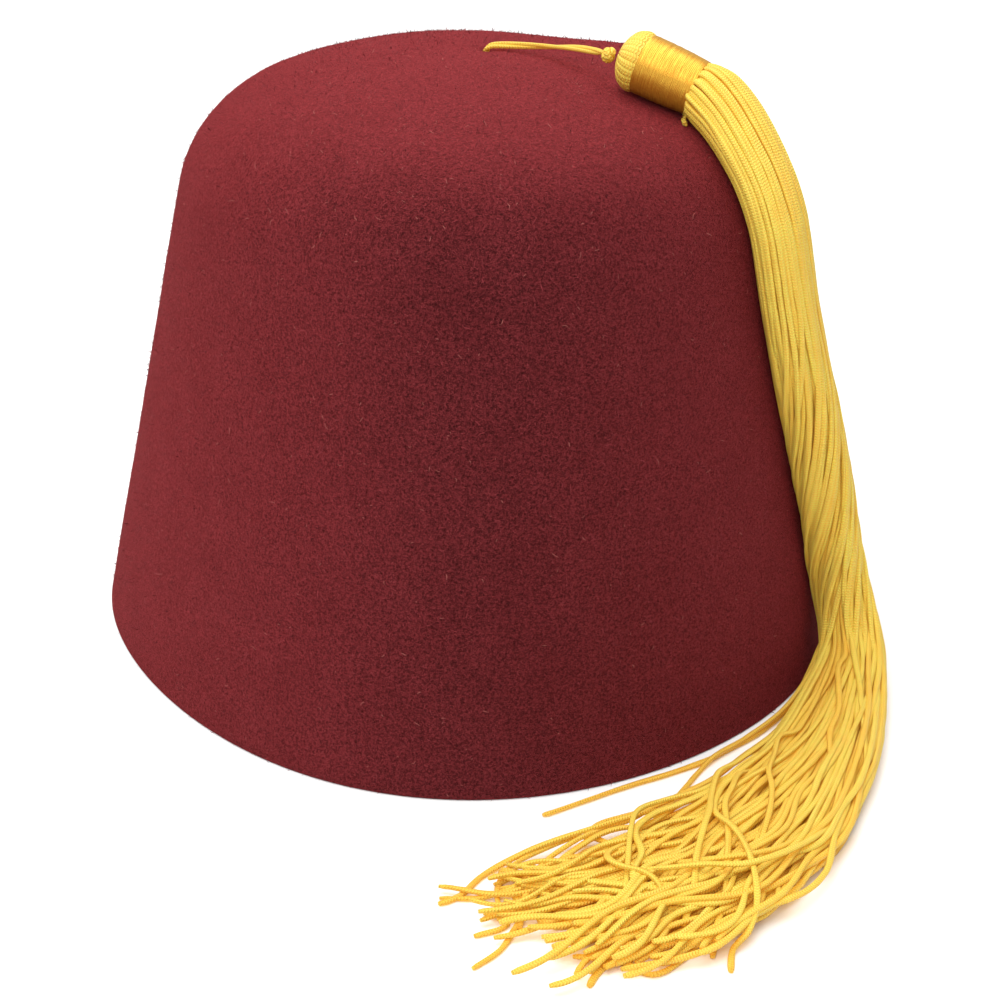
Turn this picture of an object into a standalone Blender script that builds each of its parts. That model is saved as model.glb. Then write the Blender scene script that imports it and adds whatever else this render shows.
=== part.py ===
# Fez hat: a one-piece felt cap, with a cord and a tassel that hangs from the middle of its crown.
# Metres, +Z up. The origin is the middle of the head opening at the rim. -Y is the wearer's front,
# and the tassel hangs on the +X side and spreads over the surface that the hat stands on.
import math

import bmesh
import bpy
from mathutils import Vector

# Felt body
RIM_WIDTH = 0.175  # outside, along X
RIM_DEPTH = 0.199  # outside, along Y: a head is longer than it is wide
CROWN_WIDTH = 0.127  # where the wall's line would meet the hat's full height
CROWN_DEPTH = 0.150
CROWN_HEIGHT = 0.135
CORNER_RADIUS = 0.030  # roundness of the crown's edge
DOME_ANGLE = math.radians(16.5)  # slope of the top where it meets the rounded edge
FELT_WALL = 0.003
CORD_HOLE_FREE = 0.0004  # air around the cord in its hole

# Slow waves of the wall. They are full at the rim and die out at the crown.
WAVES = [
    # lobes round the hat, swing as a share of the radius, turn of the first crest in degrees
    {"lobes": 3, "swing": 0.0071, "crest": 43.1},
    {"lobes": 4, "swing": 0.0132, "crest": -9.3},
]

# Cord
CORD_THICKNESS = 0.0019
CORD_LIFT = 0.2  # the cord rises this share of its thickness above the hole before it turns
KNOT_LENGTH = 0.0038
KNOT_THICKNESS = 0.0036
KNOT_DROP = 0.0014  # the cord pulls its knot below the middle of the head
INNER_KNOT_THICKNESS = 0.0060

# Tassel head
HEAD_DIAMETER = 0.0138
HEAD_LENGTH = 0.0051
HEAD_RIBS = 24
RIB_DEPTH = 0.0003
WRAP_DIAMETER = 0.0130
WRAP_END_DIAMETER = 0.0120  # the band narrows towards the skirt
WRAP_LENGTH = 0.0141
WRAP_WALL = 0.0014
WRAP_CROWNING = 0.0002  # the wound band is a little fuller in its middle

# Outline of the head from the cord to the wrap: shares of its length and of its radius
HEAD_PROFILE = [
    {"along": 0.02, "radius": 0.28},
    {"along": 0.08, "radius": 0.51},
    {"along": 0.17, "radius": 0.72},
    {"along": 0.28, "radius": 0.87},
    {"along": 0.41, "radius": 0.97},
    {"along": 0.55, "radius": 1.00},
    {"along": 0.85, "radius": 0.99},
    {"along": 1.00, "radius": 0.93},
]

# Outline of the wrap from the head (1) to the skirt (-1). Edge is how far the round of its rim takes
# the radius in, as a share of its wall.
WRAP_PROFILE = [
    {"place": 1.00, "edge": 0.25},
    {"place": 0.95, "edge": 0.08},
    {"place": 0.60, "edge": 0.00},
    {"place": 0.20, "edge": 0.00},
    {"place": -0.20, "edge": 0.00},
    {"place": -0.60, "edge": 0.00},
    {"place": -0.95, "edge": 0.08},
    {"place": -1.00, "edge": 0.25},
]

# Tassel skirt
SKIRT_WIDTH = 0.0160  # along the felt
SKIRT_THICKNESS = 0.0113  # off the felt
FAN_WIDTH = 0.0440
FAN_THICKNESS = 0.0090
LOCKS = 12
LOCK_GROOVE = 0.17  # depth of the furrow between two locks, as a share of the half thickness
GROOVE_START = 3  # rings below the wrap until the furrows have their full depth
TIP_THICKNESS = 0.0044  # of a loose tip where it leaves the fan
TIP_END = 0.0018
TIP_TAPER = 1.6  # above 1 a tip keeps its girth for longer before it thins out
TIP_BEND = 0.55  # where a tip's last bend is, as a share of the way from the fan to its end

# Touching pieces keep this much air, and what lies on the surface too
GAP = 0.0003
FELT_CLEARANCE = 0.0005

# Where the head lies on the crown. Run is 0 in the middle of the crown, 1 at the dome's edge,
# 2 at the top of the wall and 3 at the rim. Turn is in degrees from +X.
HEAD_SEAT = {"run": 0.735, "turn": -28.6}
WRAP_SEAT = {"run": 1.033, "turn": -25.8}

# The skirt on the hat: width and thickness are shares of the skirt's own, and slack is how far it
# stands off the felt, as a share of its thickness.
ON_THE_HAT = [
    {"run": 1.13, "turn": -27.0, "width": 0.88, "thick": 1.17, "slack": 0.00},
    {"run": 1.28, "turn": -28.8, "width": 0.94, "thick": 1.10, "slack": 0.00},
    {"run": 1.45, "turn": -30.3, "width": 1.00, "thick": 1.02, "slack": 0.00},
    {"run": 1.63, "turn": -31.0, "width": 1.00, "thick": 0.98, "slack": 0.00},
    {"run": 1.80, "turn": -31.2, "width": 1.00, "thick": 0.96, "slack": 0.00},
    {"run": 1.97, "turn": -30.8, "width": 1.00, "thick": 0.95, "slack": 0.00},
    {"run": 2.12, "turn": -29.3, "width": 1.00, "thick": 0.96, "slack": 0.00},
    {"run": 2.26, "turn": -27.2, "width": 1.00, "thick": 0.99, "slack": 0.00},
    {"run": 2.41, "turn": -24.6, "width": 1.00, "thick": 1.05, "slack": 0.00},
    {"run": 2.56, "turn": -22.2, "width": 0.98, "thick": 1.08, "slack": 0.00},
    {"run": 2.70, "turn": -20.2, "width": 0.95, "thick": 1.07, "slack": 0.01},
    {"run": 2.81, "turn": -19.2, "width": 0.92, "thick": 1.08, "slack": 0.04},
]

# The skirt on the surface: reach is a share of the rim's radius at that turn, spread and height are
# shares of the fan's own, and slack is how far it stays off the surface, as a share of its height.
ON_THE_SURFACE = [
    {"turn": -19.8, "reach": 1.087, "spread": 0.310, "height": 1.50, "slack": 0.35},
    {"turn": -22.8, "reach": 1.106, "spread": 0.35, "height": 1.34, "slack": 0.00},
    {"turn": -32.0, "reach": 1.139, "spread": 0.45, "height": 1.10, "slack": 0.00},
    {"turn": -44.5, "reach": 1.216, "spread": 0.58, "height": 1.00, "slack": 0.00},
    {"turn": -56.5, "reach": 1.310, "spread": 0.80, "height": 0.94, "slack": 0.00},
    {"turn": -67.5, "reach": 1.392, "spread": 0.96, "height": 0.80, "slack": 0.00},
    {"turn": -76.5, "reach": 1.452, "spread": 0.98, "height": 0.62, "slack": 0.00},
    {"turn": -81.5, "reach": 1.482, "spread": 0.78, "height": 0.44, "slack": 0.00},
]

# Loose tips beyond the fan: the row of the table above that a tip leaves, its place across the fan
# (-1 next to the hat, 1 farthest out), and where it ends, with its girth as a share.
TIPS = [
    {"leaves": 5, "across": -0.78, "turn": -86.5, "reach": 1.262, "girth": 0.95},
    {"leaves": 5, "across": -0.52, "turn": -91.0, "reach": 1.365, "girth": 1.00},
    {"leaves": 6, "across": -0.30, "turn": -89.6, "reach": 1.455, "girth": 0.90},
    {"leaves": 6, "across": -0.05, "turn": -88.0, "reach": 1.590, "girth": 1.00},
    {"leaves": 6, "across": 0.20, "turn": -84.2, "reach": 1.545, "girth": 1.05},
    {"leaves": 6, "across": 0.42, "turn": -80.8, "reach": 1.625, "girth": 1.00},
    {"leaves": 6, "across": 0.64, "turn": -77.2, "reach": 1.630, "girth": 1.00},
    {"leaves": 5, "across": 0.62, "turn": -73.5, "reach": 1.650, "girth": 0.95},
    {"leaves": 5, "across": 0.74, "turn": -70.2, "reach": 1.665, "girth": 0.80},
    {"leaves": 4, "across": 0.64, "turn": -65.0, "reach": 1.570, "girth": 0.85},
]

# The cord over the crown, from its hole to the knot, in shares of the straight way between them:
# how far along, how high above that way, and how far beside it towards the back of the hat.
CORD_ROUTE = [
    {"along": 0.08, "rise": 0.022, "aside": 0.01},
    {"along": 0.28, "rise": 0.000, "aside": 0.09},
    {"along": 0.50, "rise": -0.016, "aside": 0.13},
    {"along": 0.74, "rise": -0.012, "aside": 0.09},
]

# Mesh fineness
FELT_COLUMNS = 54
WALL_RINGS = 6
CORNER_RINGS = 8
DOME_RINGS = 4
SKIRT_STEPS = 2  # rings between two rows of the tables
POINTS_PER_LOCK = 4
TIP_RINGS = 7
CORD_RINGS = 16
TURNED_STEPS = 28
BELOW_RIM = 0.05  # the wall is made this much of its height too long, and then cut level


def smooth_point(rows, place):
    """A point of the Catmull-Rom curve through rows of vectors; place counts in rows."""
    last = len(rows) - 1
    first = min(int(place), last - 1)
    share = place - first
    before = rows[first - 1] if first > 0 else rows[0] * 2 - rows[1]
    after = rows[first + 2] if first + 2 <= last else rows[last] * 2 - rows[last - 1]
    start, end = rows[first], rows[first + 1]
    bend = before * -1 + start * 3 - end * 3 + after
    curve = before * 2 - start * 5 + end * 4 - after
    slope = end - before
    return start + (slope * share + curve * share**2 + bend * share**3) * 0.5


def smooth_curve(rows, count):
    last = len(rows) - 1
    return [smooth_point(rows, last * step / (count - 1)) for step in range(count)]


def wall_line(height):
    """Half width and half depth of the wall's straight line at a height."""
    share = height / CROWN_HEIGHT
    half_width = (RIM_WIDTH + (CROWN_WIDTH - RIM_WIDTH) * share) / 2
    half_depth = (RIM_DEPTH + (CROWN_DEPTH - RIM_DEPTH) * share) / 2
    return half_width, half_depth


def crown_layout():
    """The wall's top, the dome's edge and the dome's rise, so that the three run into each other."""
    lean = math.atan((RIM_WIDTH - CROWN_WIDTH + RIM_DEPTH - CROWN_DEPTH) / 4 / CROWN_HEIGHT)
    end = math.pi / 2 - DOME_ANGLE
    inset = CORNER_RADIUS * (math.cos(lean) - math.cos(end))
    corner_rise = CORNER_RADIUS * (math.sin(end) - math.sin(lean))
    wall_top = CROWN_HEIGHT - CORNER_RADIUS
    for _ in range(20):
        half_width, half_depth = wall_line(wall_top)
        mean_radius = (half_width + half_depth) / 2 - inset
        dome_rise = mean_radius * math.tan(DOME_ANGLE) / 2
        wall_top = CROWN_HEIGHT - dome_rise - corner_rise
    return lean, end, wall_top, dome_rise


LEAN, CORNER_END, WALL_TOP, DOME_RISE = crown_layout()


def felt_ring(run):
    """Half width, half depth and height of the outer surface at a run."""
    if run >= 2:
        height = WALL_TOP * (3 - run)
        return (*wall_line(height), height)
    angle = LEAN + (CORNER_END - LEAN) * min(1, 2 - run)
    half_width, half_depth = wall_line(WALL_TOP)
    inset = CORNER_RADIUS * (math.cos(LEAN) - math.cos(angle))
    height = WALL_TOP + CORNER_RADIUS * (math.sin(angle) - math.sin(LEAN))
    half_width, half_depth = half_width - inset, half_depth - inset
    if run < 1:
        height += DOME_RISE * (1 - run * run)
        half_width, half_depth = half_width * run, half_depth * run
    return half_width, half_depth, height


def felt_point(run, turn):
    """A point of the felt's outer surface; turn in radians."""
    half_width, half_depth, height = felt_ring(run)
    fade = max(0, 1 - height / CROWN_HEIGHT)
    wave = sum(
        row["swing"] * math.cos(row["lobes"] * (turn - math.radians(row["crest"])))
        for row in WAVES
    )
    swell = 1 + fade * wave
    return Vector((half_width * math.cos(turn) * swell, half_depth * math.sin(turn) * swell, height))


def felt_normal(run, turn):
    step = 0.004
    down = felt_point(run + step, turn) - felt_point(run - step, turn)
    round_way = felt_point(run, turn + step) - felt_point(run, turn - step)
    return down.cross(round_way).normalized()


def off_the_felt(row, lift):
    """The place above a run and turn of the felt, and the felt's normal there."""
    turn = math.radians(row["turn"])
    normal = felt_normal(row["run"], turn)
    return felt_point(row["run"], turn) + normal * lift, normal


def on_the_surface(turn_degrees, reach, height):
    """A place beside the hat; reach is a share of the rim's radius at that turn."""
    turn = math.radians(turn_degrees)
    half_width, half_depth = RIM_WIDTH / 2 * reach, RIM_DEPTH / 2 * reach
    return Vector((half_width * math.cos(turn), half_depth * math.sin(turn), height))


def new_collection(name):
    collection = bpy.data.collections.new(name)
    bpy.context.scene.collection.children.link(collection)
    return collection


def new_material(name, color, roughness):
    material = bpy.data.materials.new(name)
    material.use_nodes = True
    shader = material.node_tree.nodes["Principled BSDF"]
    shader.inputs["Base Color"].default_value = (*color, 1)
    shader.inputs["Roughness"].default_value = roughness
    shader.inputs["Metallic"].default_value = 0
    material.diffuse_color = (*color, 1)
    return material


def new_object(name, mesh, collection, material=None):
    thing = bpy.data.objects.new(name, mesh)
    collection.objects.link(thing)
    if material:
        mesh.materials.append(material)
    return thing


def loft(name, rings, capped=True, wrapped=True):
    """A skin through rings of equally many points, with fans at both ends where it is capped."""
    mesh = bpy.data.meshes.new(name)
    work = bmesh.new()
    rows = [[work.verts.new(point) for point in ring] for ring in rings]
    columns = len(rows[0]) if wrapped else len(rows[0]) - 1
    for row, following in zip(rows, rows[1:]):
        for column in range(columns):
            beside = (column + 1) % len(row)
            work.faces.new((row[column], row[beside], following[beside], following[column]))
    if capped:
        for row in (rows[0], rows[-1]):
            middle = work.verts.new(sum((vert.co for vert in row), Vector()) / len(row))
            for column in range(len(row)):
                work.faces.new((row[column], row[(column + 1) % len(row)], middle))
    bmesh.ops.recalc_face_normals(work, faces=work.faces[:])
    work.to_mesh(mesh)
    work.free()
    return mesh


def shade(mesh, angle=50):
    mesh.shade_smooth()
    mesh.set_sharp_from_angle(angle=math.radians(angle))


def tube_mesh(name, points, radii):
    """A round tube along points, from a bevelled curve, as one closed mesh."""
    curve = bpy.data.curves.new(name, "CURVE")
    curve.dimensions = "3D"
    curve.bevel_depth = 1
    curve.bevel_resolution = 2
    curve.use_fill_caps = True
    spline = curve.splines.new("POLY")
    spline.points.add(len(points) - 1)
    for target, point, radius in zip(spline.points, points, radii):
        target.co = (*point, 1)
        target.radius = radius
    guide = bpy.data.objects.new(name, curve)
    bpy.context.scene.collection.objects.link(guide)
    bpy.context.view_layer.update()
    mesh = bpy.data.meshes.new_from_object(guide.evaluated_get(bpy.context.evaluated_depsgraph_get()))
    bpy.data.objects.remove(guide)
    work = bmesh.new()
    work.from_mesh(mesh)
    bmesh.ops.remove_doubles(work, verts=work.verts[:], dist=0.00001)
    bmesh.ops.recalc_face_normals(work, faces=work.faces[:])
    work.to_mesh(mesh)
    work.free()
    return mesh


def boolean(thing, cutter, operation):
    cutter.hide_render = True
    cutter.display_type = "WIRE"
    modifier = thing.modifiers.new(operation.lower(), "BOOLEAN")
    modifier.operation = operation
    modifier.object = cutter


def build_felt(parts, cutters, material):
    hole_radius = CORD_THICKNESS / 2 + CORD_HOLE_FREE
    hole_run = hole_radius / felt_ring(1)[0]
    wall = [3 + BELOW_RIM - (1 + BELOW_RIM) * step / WALL_RINGS for step in range(WALL_RINGS)]
    corner = [2 - step / CORNER_RINGS for step in range(CORNER_RINGS)]
    dome = [1 - step / DOME_RINGS for step in range(DOME_RINGS)]
    turns = [math.tau * column / FELT_COLUMNS for column in range(FELT_COLUMNS)]
    rings = [[felt_point(run, turn) for turn in turns] for run in wall + corner + dome]
    hole_top = felt_ring(hole_run)[2]
    hole = [(hole_radius * math.cos(turn), hole_radius * math.sin(turn), hole_top) for turn in turns]
    rings.append([Vector(point) for point in hole])
    felt = new_object("felt_crown", loft("felt_crown", rings, capped=False), parts, material)
    shade(felt.data)
    thickness = felt.modifiers.new("wall", "SOLIDIFY")
    thickness.thickness = FELT_WALL
    thickness.offset = -1
    thickness.use_even_offset = True
    depth = WALL_TOP * BELOW_RIM * 4
    bpy.ops.mesh.primitive_cube_add(size=1)
    level = bpy.context.object
    level.name = "level_cut"
    level.scale = (RIM_WIDTH * 2, RIM_DEPTH * 2, depth)
    level.location.z = -depth / 2
    for collection in level.users_collection:
        collection.objects.unlink(level)
    cutters.objects.link(level)
    boolean(felt, level, "DIFFERENCE")
    return felt


def head_axis():
    """Where the tassel's head lies: its start, its direction, and the wrap's end."""
    under_head, _ = off_the_felt(HEAD_SEAT, HEAD_DIAMETER / 2 + FELT_CLEARANCE)
    under_wrap, _ = off_the_felt(WRAP_SEAT, WRAP_DIAMETER / 2 + FELT_CLEARANCE)
    way = (under_wrap - under_head).normalized()
    wrap_end = under_wrap
    start = wrap_end - way * (WRAP_LENGTH + GAP + HEAD_LENGTH)
    return start, way, wrap_end


def cross_frame(way, outward):
    """Two unit vectors square to a way: the one nearest outward, and the one beside it."""
    out = (outward - way * outward.dot(way)).normalized()
    return out, out.cross(way)


def build_head(parts, material):
    start, way, _ = head_axis()
    out, side = cross_frame(way, Vector((0, 0, 1)))
    columns = HEAD_RIBS * 2
    rings = []
    for row in HEAD_PROFILE:
        place = start + way * (HEAD_LENGTH * row["along"])
        ring = []
        for column in range(columns):
            angle = math.tau * column / columns
            reach = HEAD_DIAMETER / 2 * row["radius"] - (RIB_DEPTH if column % 2 else 0)
            ring.append(place + (out * math.cos(angle) + side * math.sin(angle)) * reach)
        rings.append(ring)
    head = new_object("tassel_head", loft("tassel_head", rings), parts, material)
    shade(head.data)
    return head


def build_wrap(parts, material):
    """The wound band: a turned tube that the skirt's neck passes through."""
    _, way, wrap_end = head_axis()
    inner = WRAP_DIAMETER / 2 - WRAP_WALL
    half = WRAP_LENGTH / 2
    profile = [(inner, half)]
    for row in WRAP_PROFILE:
        place = row["place"]
        outer = WRAP_END_DIAMETER + (WRAP_DIAMETER - WRAP_END_DIAMETER) * (place + 1) / 2
        radius = outer / 2 + WRAP_CROWNING * (1 - place * place) - WRAP_WALL * row["edge"]
        profile.append((radius, half * place))
    profile.append((inner, -half))
    mesh = bpy.data.meshes.new("head_wrap")
    edges = [(index, (index + 1) % len(profile)) for index in range(len(profile))]
    mesh.from_pydata([(radius, 0, height) for radius, height in profile], edges, [])
    wrap = new_object("head_wrap", mesh, parts, material)
    turned = wrap.modifiers.new("turned", "SCREW")
    turned.steps = turned.render_steps = TURNED_STEPS
    turned.use_merge_vertices = True
    turned.merge_threshold = 0.00001
    turned.use_smooth_shade = True
    wrap.location = wrap_end - way * half
    wrap.rotation_mode = "QUATERNION"
    wrap.rotation_quaternion = (-way).to_track_quat("Z", "Y")
    return wrap


def skirt_stations():
    """Centre, outward direction and half sizes (out, side) of the skirt, row by row."""
    centres, outwards, sizes = [], [], []
    for row in ON_THE_HAT:
        half_out = row["thick"] * SKIRT_THICKNESS / 2
        lift = half_out + FELT_CLEARANCE + row["slack"] * SKIRT_THICKNESS
        centre, normal = off_the_felt(row, lift)
        centres.append(centre)
        outwards.append(normal)
        sizes.append(Vector((half_out, row["width"] * SKIRT_WIDTH / 2, 0)))
    for row in ON_THE_SURFACE:
        half_side = row["height"] * FAN_THICKNESS / 2
        height = half_side + GAP + row["slack"] * FAN_THICKNESS
        centre = on_the_surface(row["turn"], row["reach"], height)
        centres.append(centre)
        outwards.append(Vector((centre.x, centre.y, 0)).normalized())
        sizes.append(Vector((row["spread"] * FAN_WIDTH / 2, half_side, 0)))
    return centres, outwards, sizes


def lobed_ring(centre, way, outward, half_out, half_side, groove):
    """A section of the skirt: an oval with one bulge for each lock."""
    out, side = cross_frame(way, outward)
    count = LOCKS * POINTS_PER_LOCK
    ring = []
    for index in range(count):
        angle = math.tau * index / count
        bulge = abs(math.cos(LOCKS * angle / 2))
        reach = 1 - groove * (1 - bulge)
        ring.append(centre + (out * half_out * math.cos(angle) + side * half_side * math.sin(angle)) * reach)
    return ring


def skirt_rings():
    _, head_way, wrap_end = head_axis()
    centres, outwards, sizes = skirt_stations()
    mouth = wrap_end + head_way * GAP * 2
    mouth_size = WRAP_END_DIAMETER / 2
    centres.insert(0, mouth)
    outwards.insert(0, cross_frame(head_way, Vector((0, 0, 1)))[0])
    sizes.insert(0, Vector((mouth_size, mouth_size, 0)))
    count = (len(centres) - 1) * SKIRT_STEPS + 1
    path, turned, girth = (smooth_curve(rows, count) for rows in (centres, outwards, sizes))
    neck = WRAP_DIAMETER / 2 - WRAP_WALL - GAP
    rings = []
    for along in (WRAP_LENGTH - GAP, 0):
        place = wrap_end - head_way * along + head_way * GAP
        rings.append(lobed_ring(place, head_way, outwards[0], neck, neck, 0))
    for index, place in enumerate(path):
        before = path[index - 1] if index else place - head_way
        following = path[index + 1] if index + 1 < count else place * 2 - before
        way = (following - before).normalized()
        if index == 0:
            way = head_way
        groove = LOCK_GROOVE * min(1, index / GROOVE_START)
        rings.append(lobed_ring(place, way, turned[index], girth[index].x, girth[index].y, groove))
    return rings, centres, outwards, sizes


def tip_route(row, centres, outwards, sizes):
    """A tip's way: along the fan's core, and out to its own end."""
    leaves = len(ON_THE_HAT) + 1 + row["leaves"]
    points = []
    for place in (leaves - 1, leaves):
        way = (centres[place] - centres[place - 1]).normalized()
        out, _ = cross_frame(way, outwards[place])
        points.append(centres[place] + out * sizes[place].x * row["across"])
    end = on_the_surface(row["turn"], row["reach"], 0)
    points.append(points[-1].lerp(end, TIP_BEND))
    points.append(end)
    start_radius = TIP_THICKNESS / 2 * row["girth"]
    route = smooth_curve(points, TIP_RINGS)
    radii = []
    for index, point in enumerate(route):
        share = index / (TIP_RINGS - 1)
        radii.append(start_radius + (TIP_END / 2 - start_radius) * share**TIP_TAPER)
        point.z = radii[-1] + GAP
    return route, radii


def build_skirt(parts, cutters, material):
    rings, centres, outwards, sizes = skirt_rings()
    skirt = new_object("tassel_skirt", loft("tassel_skirt", rings), parts, material)
    shade(skirt.data)
    for number, row in enumerate(TIPS, 1):
        route, radii = tip_route(row, centres, outwards, sizes)
        tip = new_object(f"tip_{number:02d}", tube_mesh("tip", route, radii), cutters)
        boolean(skirt, tip, "UNION")
    return skirt


def cord_ends():
    """The cord's hole in the crown, and the middle of its knot before the tassel's head."""
    start, way, _ = head_axis()
    hole = felt_point(0, 0)
    out, _ = cross_frame(way, Vector((0, 0, 1)))
    knot = start - way * (KNOT_LENGTH / 2 + GAP) - out * KNOT_DROP
    return hole, knot


def build_cord(parts, material):
    """From inside the hole, over its edge and across the crown to the knot."""
    hole, knot = cord_ends()
    head_way = head_axis()[1]
    end = knot - head_way * (KNOT_LENGTH / 2 + GAP)
    way = end - hole
    beside = Vector((0, 0, 1)).cross(way)
    points = [hole - Vector((0, 0, FELT_WALL - GAP)), hole + Vector((0, 0, CORD_THICKNESS * CORD_LIFT))]
    for row in CORD_ROUTE:
        lift = Vector((0, 0, row["rise"] * way.length))
        points.append(hole.lerp(end, row["along"]) + lift + beside * row["aside"])
    points += [end - head_way * CORD_THICKNESS, end]
    route = smooth_curve(points, CORD_RINGS)
    mesh = tube_mesh("hanging_cord", route, [CORD_THICKNESS / 2] * CORD_RINGS)
    cord = new_object("hanging_cord", mesh, parts, material)
    shade(cord.data)
    return cord


def build_knot(name, place, way, length, thickness, parts, material):
    """A plain round knot, with its long axis along the cord."""
    bpy.ops.mesh.primitive_uv_sphere_add(segments=12, ring_count=8, radius=0.5)
    knot = bpy.context.object
    knot.name = knot.data.name = name
    for vert in knot.data.vertices:
        vert.co = Vector((vert.co.x * thickness, vert.co.y * thickness, vert.co.z * length))
    knot.location = place
    knot.rotation_mode = "QUATERNION"
    knot.rotation_quaternion = way.to_track_quat("Z", "Y")
    for collection in knot.users_collection:
        collection.objects.unlink(knot)
    parts.objects.link(knot)
    knot.data.materials.append(material)
    shade(knot.data)
    return knot


def build():
    for thing in list(bpy.data.objects):
        bpy.data.objects.remove(thing, do_unlink=True)
    parts = new_collection("fez_hat")
    cutters = new_collection("cutters")
    felt = new_material("wool_felt", (0.13, 0.017, 0.019), 0.95)
    chainette = new_material("rayon_chainette", (0.83, 0.55, 0.04), 0.55)
    floss = new_material("rayon_floss", (0.80, 0.48, 0.02), 0.35)
    build_felt(parts, cutters, felt)
    build_head(parts, chainette)
    build_wrap(parts, floss)
    build_skirt(parts, cutters, chainette)
    build_cord(parts, chainette)
    _, way, _ = head_axis()
    hole, knot = cord_ends()
    build_knot("cord_knot", knot, way, KNOT_LENGTH, KNOT_THICKNESS, parts, chainette)
    size = INNER_KNOT_THICKNESS
    under_felt = hole - Vector((0, 0, FELT_WALL + GAP + size / 2))
    build_knot("inner_knot", under_felt, Vector((0, 0, 1)), size, size, parts, chainette)


build()
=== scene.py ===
# Fez hat: a blocked felt crown, and a cord that leads to a long tassel of chainette strands.
# Lengths are in metres and angles in degrees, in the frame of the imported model.
import math

import bpy
import numpy as np
from mathutils import Matrix, Vector, noise
from mathutils.kdtree import KDTree


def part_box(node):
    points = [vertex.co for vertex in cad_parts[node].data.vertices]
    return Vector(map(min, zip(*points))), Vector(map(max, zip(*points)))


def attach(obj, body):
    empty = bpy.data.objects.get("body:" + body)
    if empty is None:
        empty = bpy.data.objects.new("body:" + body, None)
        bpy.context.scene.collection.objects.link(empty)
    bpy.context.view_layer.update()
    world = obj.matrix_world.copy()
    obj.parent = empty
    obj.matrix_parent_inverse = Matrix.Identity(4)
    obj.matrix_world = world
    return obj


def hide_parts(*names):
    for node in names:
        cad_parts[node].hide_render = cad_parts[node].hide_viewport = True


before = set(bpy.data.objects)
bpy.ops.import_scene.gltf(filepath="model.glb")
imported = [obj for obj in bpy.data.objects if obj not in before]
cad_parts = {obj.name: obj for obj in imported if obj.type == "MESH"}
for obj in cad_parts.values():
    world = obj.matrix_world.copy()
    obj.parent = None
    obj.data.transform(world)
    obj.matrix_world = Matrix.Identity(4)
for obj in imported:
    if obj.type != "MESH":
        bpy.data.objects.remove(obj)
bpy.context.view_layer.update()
chance = np.random.default_rng(11)
up = np.array([0, 0, 1.0])

# Camera, at the photograph's height and distance
camera = {
    "place": (0.0068, -0.47709, 0.23115),
    "looksAt": (0.0068, 0.0, 0.0243),
    "lens": 76.14,  # mm, on a 36 mm sensor
    "roll": 2.12,
}


def addObject(name, data):
    made = bpy.data.objects.new(name, data)
    bpy.context.scene.collection.objects.link(made)
    return made


def addCamera():
    eye = addObject("studioCamera", bpy.data.cameras.new("studioCamera"))
    eye.data.lens = camera["lens"]
    eye.data.sensor_width = 36
    eye.data.clip_start = 0.01
    way = Vector(camera["looksAt"]) - Vector(camera["place"])
    level = way.to_track_quat("-Z", "Y").to_matrix()
    turned = level @ Matrix.Rotation(math.radians(camera["roll"]), 3, "Z")
    eye.matrix_world = Matrix.Translation(camera["place"]) @ turned.to_4x4()
    bpy.context.scene.camera = eye


print("camera")
addCamera()


# Small helpers for colours, nodes and meshes
def fromHex(code):
    channels = [int(code[place:place + 2], 16) / 255 for place in (0, 2, 4)]
    linear = [c / 12.92 if c <= 0.04045 else ((c + 0.055) / 1.055) ** 2.4 for c in channels]
    return (*linear, 1.0)


# One node of a material: a number, a vector or a hex colour goes on an input, and an output is linked to it
def addNode(tree, kind, inputs=None, **settings):
    node = tree.nodes.new("ShaderNode" + kind)
    for name, value in settings.items():
        setattr(node, name, value)
    for name, value in (inputs or {}).items():
        if isinstance(value, bpy.types.NodeSocket):
            tree.links.new(value, node.inputs[name])
        else:
            node.inputs[name].default_value = fromHex(value) if isinstance(value, str) else value
    return node


def ranged(tree, value, low, high, toLow=0.0, toHigh=1.0):
    inputs = {"Value": value, "From Min": low, "From Max": high, "To Min": toLow, "To Max": toHigh}
    return addNode(tree, "MapRange", inputs).outputs[0]


def blended(tree, share, first, second, blend="MIX"):
    inputs = {0: share, 6: first, 7: second}
    return addNode(tree, "Mix", inputs, data_type="RGBA", blend_type=blend).outputs[2]


def worked(tree, operation, *values):
    return addNode(tree, "Math", dict(enumerate(values)), operation=operation).outputs[0]


def speckled(tree, place, scale, detail, **settings):
    inputs = {"Vector": place, "Scale": scale, "Detail": detail, **settings}
    return addNode(tree, "TexNoise", inputs).outputs[0]


def stretched(tree, place, scale, turn=(0, 0, 0)):
    return addNode(tree, "Mapping", {"Vector": place, "Scale": scale, "Rotation": turn}).outputs[0]


def mixed(tree, share, first, second):
    return addNode(tree, "MixShader", {0: share, 1: first, 2: second}).outputs["Shader"]


def relief(tree, look, height):
    inputs = {"Strength": look["relief"], "Distance": look["reliefHeight"], "Height": height}
    return addNode(tree, "Bump", inputs).outputs[0]


def principled(tree, inputs):
    return addNode(tree, "BsdfPrincipled", inputs).outputs["BSDF"]


def showOnSurface(tree, shader):
    addNode(tree, "OutputMaterial", {"Surface": shader})


def newMaterial(name):
    material = bpy.data.materials.new(name)
    material.use_nodes = True
    material.node_tree.nodes.clear()
    return material, material.node_tree


def unit(vectors):
    return vectors / np.maximum(np.linalg.norm(vectors, axis=-1, keepdims=True), 1e-12)


def dots(first, second):
    return (first * second).sum(-1, keepdims=True)


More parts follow.
